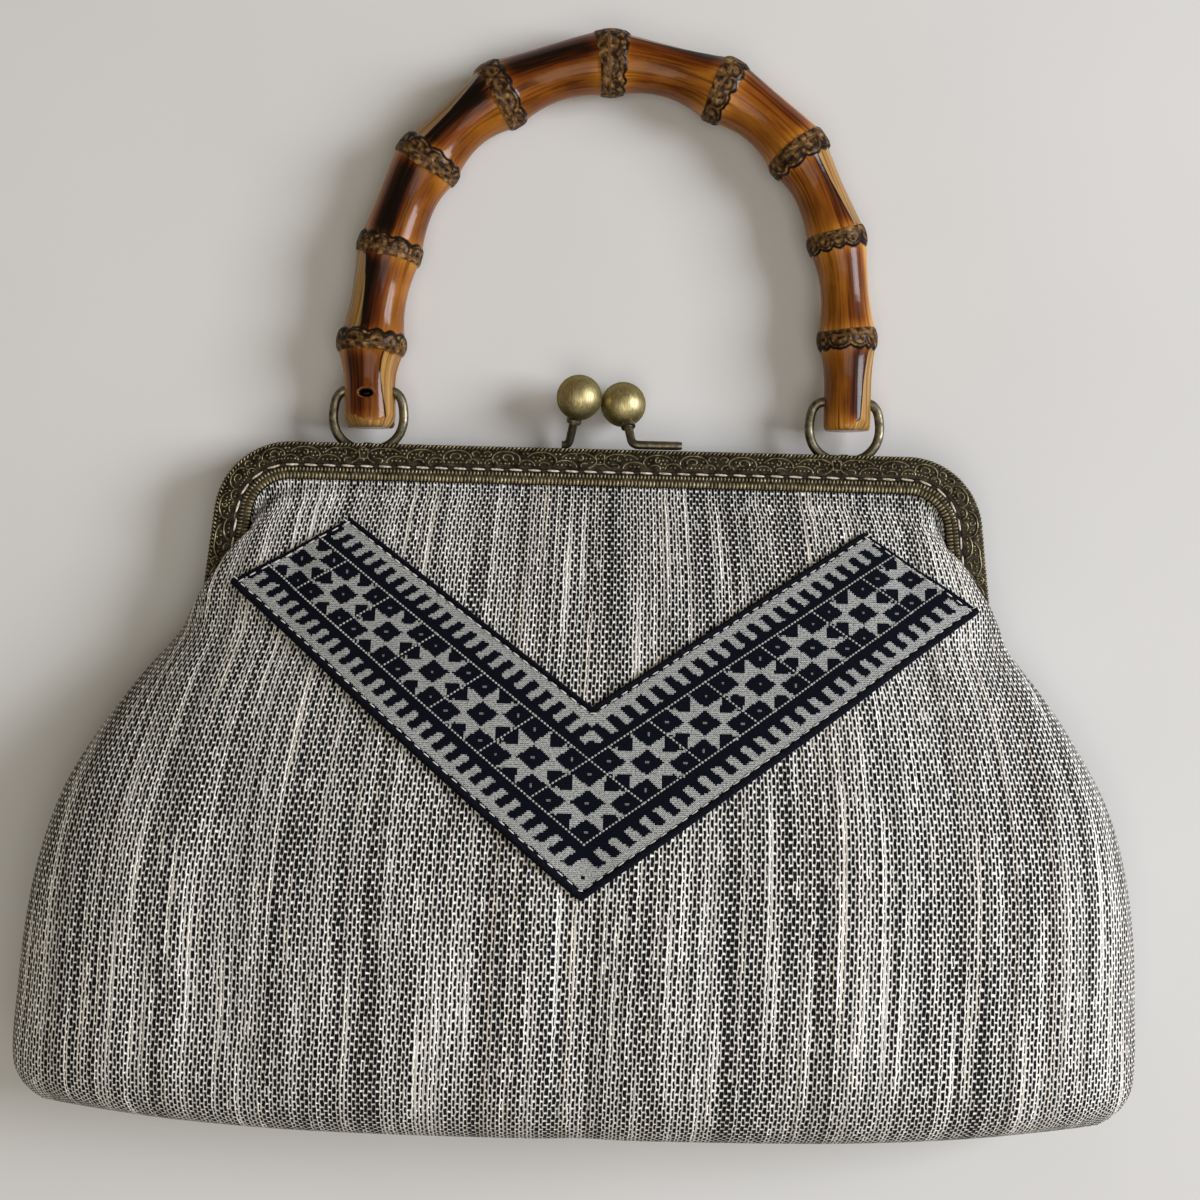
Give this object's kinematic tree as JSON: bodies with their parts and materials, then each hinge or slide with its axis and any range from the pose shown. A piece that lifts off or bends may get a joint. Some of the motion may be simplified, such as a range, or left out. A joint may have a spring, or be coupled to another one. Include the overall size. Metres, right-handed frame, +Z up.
{
  "type": "frame bag",
  "caption": "Small hand-held cloth bag with a metal clasp frame, a woven ribbon in a V on its front and a bent bamboo handle on two rings, lying on its back.",
  "frame": {"origin": "on the table under the middle of the bag's outline", "axes": "+Z up from the table through the bag's front, +Y from the base to the handle, +X across the bag"},
  "size_m": [0.2882, 0.2888, 0.0569],
  "materials": {
    "cloth": "thick woven cloth, dark dashes on pale yarns",
    "braid": "woven ribbon, navy on pale grey",
    "frame_metal": "antique brass plating",
    "clasp_metal": "satin antique brass",
    "ring_metal": "antique brass plating",
    "bamboo": "flame-marked and varnished"
  },
  "bodies": {
    "bag": {"front_panel": "cloth", "back_panel": "cloth", "braid_trim": "braid", "front_frame": "frame_metal", "back_frame": "frame_metal", "hinge_left": "frame_metal", "hinge_right": "frame_metal", "clasp_front": "clasp_metal", "clasp_back": "clasp_metal"},
    "rings": {"ring_left": "ring_metal", "ring_right": "ring_metal"},
    "handle": {"bamboo_handle": "bamboo"}
  },
  "joints": [
    {"name": "rings_swing", "type": "hinge", "parent": "bag", "child": "rings", "pos_m": [0.00437, 0.03181, 0.0094], "axis": [1, 0, 0], "range_deg": [-30, 30]},
    {"name": "handle_swing", "type": "hinge", "parent": "rings", "child": "handle", "pos_m": [0.00437, 0.04761, 0.0094], "axis": [1, 0, 0], "range_deg": [-95, 95]}
  ]
}
